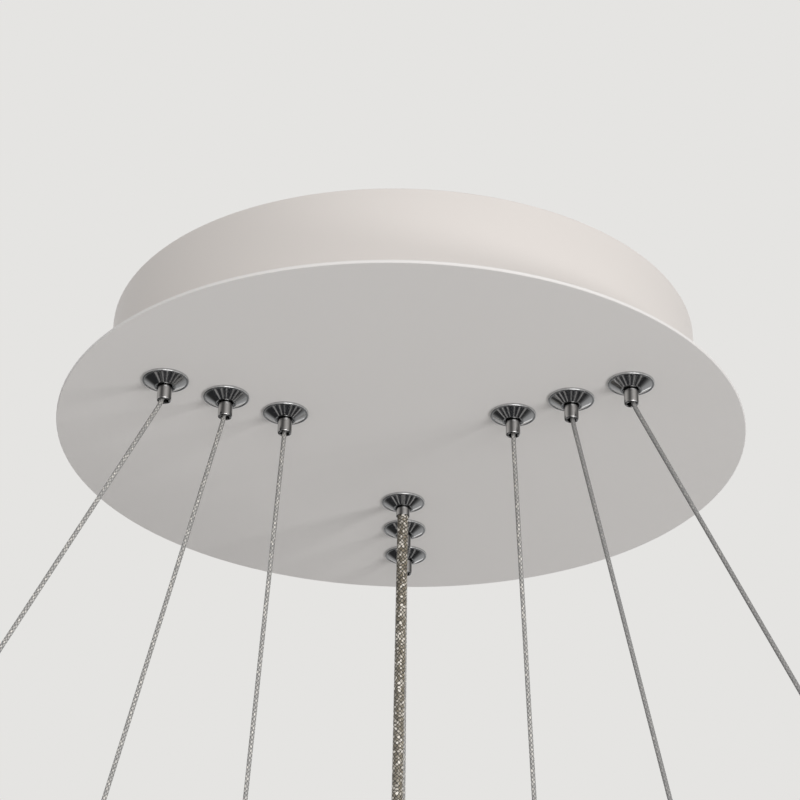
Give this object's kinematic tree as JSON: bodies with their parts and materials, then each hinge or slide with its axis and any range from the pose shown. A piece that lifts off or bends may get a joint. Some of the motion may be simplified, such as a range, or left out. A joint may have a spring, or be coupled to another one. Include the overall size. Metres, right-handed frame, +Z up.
{
  "type": "led ring chandelier",
  "caption": "Round white ceiling canopy with chrome ball grips, from which lit rings of different size hang level on thin wires and a braided supply cord.",
  "frame": {"origin": "centre of the ceiling bracket's screw pattern, on the ceiling", "axes": "+Z up to the ceiling, +X along the bracket, -Y towards the side that the picture is taken from"},
  "size_m": [0.5999, 0.6, 0.6275],
  "materials": {
    "canopy_paint": "matte white paint",
    "zinc_steel": "zinc plated",
    "screw_steel": "bright zinc",
    "gripper_chrome": "mirror chrome",
    "gripper_brass": "turned brass, nickel washed",
    "nozzle_nickel": "satin nickel",
    "spring_steel": "drawn wire",
    "wire_coated": "stranded steel under a clear coat",
    "cord_braid": "metal braid under a clear jacket",
    "driver_plastic": "fine grained white",
    "circuit_board": "green board with components",
    "terminal_plastic": "cream",
    "terminal_brass": "slotted brass",
    "lead_insulation": "brown and blue insulation",
    "lead_insulation_red": "red and black insulation",
    "earth_insulation": "green and yellow insulation",
    "ring_aluminium": "white powder coat on bent aluminium profile",
    "milky_acrylic": "milky, satin",
    "led_strip": "white strip with yellow LEDs"
  },
  "bodies": {
    "canopy": {"ceiling_bracket": "zinc_steel", "canopy_drum": "canopy_paint", "canopy_plate": "canopy_paint", "side_screws": "screw_steel", "plate_nuts": "screw_steel", "driver_case": "driver_plastic", "driver_lid": "driver_plastic", "driver_board": "circuit_board", "terminal_block": "terminal_plastic", "terminal_screws": "terminal_brass", "mains_leads": "lead_insulation", "supply_cord_tail": "cord_braid", "ring_feed_leads": "lead_insulation_red", "earth_lead": "earth_insulation", "cord_gland_body": "gripper_chrome", "cord_gland_sleeve": "nozzle_nickel", "cord_clamp_screw": "screw_steel", "gripper_nuts": "gripper_brass", "gripper_caps": "gripper_brass", "wire_tails": "wire_coated", "gripper_body_rear_middle": "gripper_chrome", "gripper_body_rear_outer": "gripper_chrome", "gripper_body_left_inner": "gripper_chrome", "gripper_body_left_middle": "gripper_chrome", "gripper_body_left_outer": "gripper_chrome", "gripper_body_right_inner": "gripper_chrome", "gripper_body_right_middle": "gripper_chrome", "gripper_body_right_outer": "gripper_chrome"},
    "large_ring": {"large_ring_channel": "ring_aluminium", "large_ring_diffuser": "milky_acrylic", "large_ring_led_strip": "led_strip", "large_ring_anchors": "gripper_chrome", "large_ring_wires": "wire_coated"},
    "medium_ring": {"medium_ring_channel": "ring_aluminium", "medium_ring_diffuser": "milky_acrylic", "medium_ring_led_strip": "led_strip", "medium_ring_anchors": "gripper_chrome", "medium_ring_wires": "wire_coated"},
    "small_ring": {"small_ring_channel": "ring_aluminium", "small_ring_diffuser": "milky_acrylic", "small_ring_led_strip": "led_strip", "small_ring_anchors": "gripper_chrome", "small_ring_wires": "wire_coated", "supply_cord": "cord_braid"},
    "nozzle_rear_middle": {"gripper_nozzle_rear_middle": "nozzle_nickel", "gripper_spring_rear_middle": "spring_steel"},
    "nozzle_rear_outer": {"gripper_nozzle_rear_outer": "nozzle_nickel", "gripper_spring_rear_outer": "spring_steel"},
    "nozzle_left_inner": {"gripper_nozzle_left_inner": "nozzle_nickel", "gripper_spring_left_inner": "spring_steel"},
    "nozzle_left_middle": {"gripper_nozzle_left_middle": "nozzle_nickel", "gripper_spring_left_middle": "spring_steel"},
    "nozzle_left_outer": {"gripper_nozzle_left_outer": "nozzle_nickel", "gripper_spring_left_outer": "spring_steel"},
    "nozzle_right_inner": {"gripper_nozzle_right_inner": "nozzle_nickel", "gripper_spring_right_inner": "spring_steel"},
    "nozzle_right_middle": {"gripper_nozzle_right_middle": "nozzle_nickel", "gripper_spring_right_middle": "spring_steel"},
    "nozzle_right_outer": {"gripper_nozzle_right_outer": "nozzle_nickel", "gripper_spring_right_outer": "spring_steel"}
  },
  "joints": [
    {"name": "large_ring_height", "type": "slide", "parent": "canopy", "child": "large_ring", "axis": [0, 0, 1], "range_m": [-0.08, 0.08], "deforming": ["large_ring_wires"]},
    {"name": "medium_ring_height", "type": "slide", "parent": "canopy", "child": "medium_ring", "axis": [0, 0, 1], "range_m": [-0.08, 0.08], "deforming": ["medium_ring_wires"]},
    {"name": "small_ring_height", "type": "slide", "parent": "canopy", "child": "small_ring", "axis": [0, 0, 1], "range_m": [-0.08, 0.08], "deforming": ["small_ring_wires", "supply_cord"]},
    {"name": "nozzle_rear_middle_press", "type": "slide", "parent": "canopy", "child": "nozzle_rear_middle", "axis": [0, 0, 1], "range_m": [0, 0.002], "stiffness_N_per_m": 500, "springref_m": -0.002, "deforming": ["gripper_spring_rear_middle"]},
    {"name": "nozzle_rear_outer_press", "type": "slide", "parent": "canopy", "child": "nozzle_rear_outer", "axis": [0, 0, 1], "range_m": [0, 0.002], "stiffness_N_per_m": 500, "springref_m": -0.002, "deforming": ["gripper_spring_rear_outer"]},
    {"name": "nozzle_left_inner_press", "type": "slide", "parent": "canopy", "child": "nozzle_left_inner", "axis": [0, 0, 1], "range_m": [0, 0.002], "stiffness_N_per_m": 500, "springref_m": -0.002, "deforming": ["gripper_spring_left_inner"]},
    {"name": "nozzle_left_middle_press", "type": "slide", "parent": "canopy", "child": "nozzle_left_middle", "axis": [0, 0, 1], "range_m": [0, 0.002], "stiffness_N_per_m": 500, "springref_m": -0.002, "deforming": ["gripper_spring_left_middle"]},
    {"name": "nozzle_left_outer_press", "type": "slide", "parent": "canopy", "child": "nozzle_left_outer", "axis": [0, 0, 1], "range_m": [0, 0.002], "stiffness_N_per_m": 500, "springref_m": -0.002, "deforming": ["gripper_spring_left_outer"]},
    {"name": "nozzle_right_inner_press", "type": "slide", "parent": "canopy", "child": "nozzle_right_inner", "axis": [0, 0, 1], "range_m": [0, 0.002], "stiffness_N_per_m": 500, "springref_m": -0.002, "deforming": ["gripper_spring_right_inner"]},
    {"name": "nozzle_right_middle_press", "type": "slide", "parent": "canopy", "child": "nozzle_right_middle", "axis": [0, 0, 1], "range_m": [0, 0.002], "stiffness_N_per_m": 500, "springref_m": -0.002, "deforming": ["gripper_spring_right_middle"]},
    {"name": "nozzle_right_outer_press", "type": "slide", "parent": "canopy", "child": "nozzle_right_outer", "axis": [0, 0, 1], "range_m": [0, 0.002], "stiffness_N_per_m": 500, "springref_m": -0.002, "deforming": ["gripper_spring_right_outer"]}
  ]
}
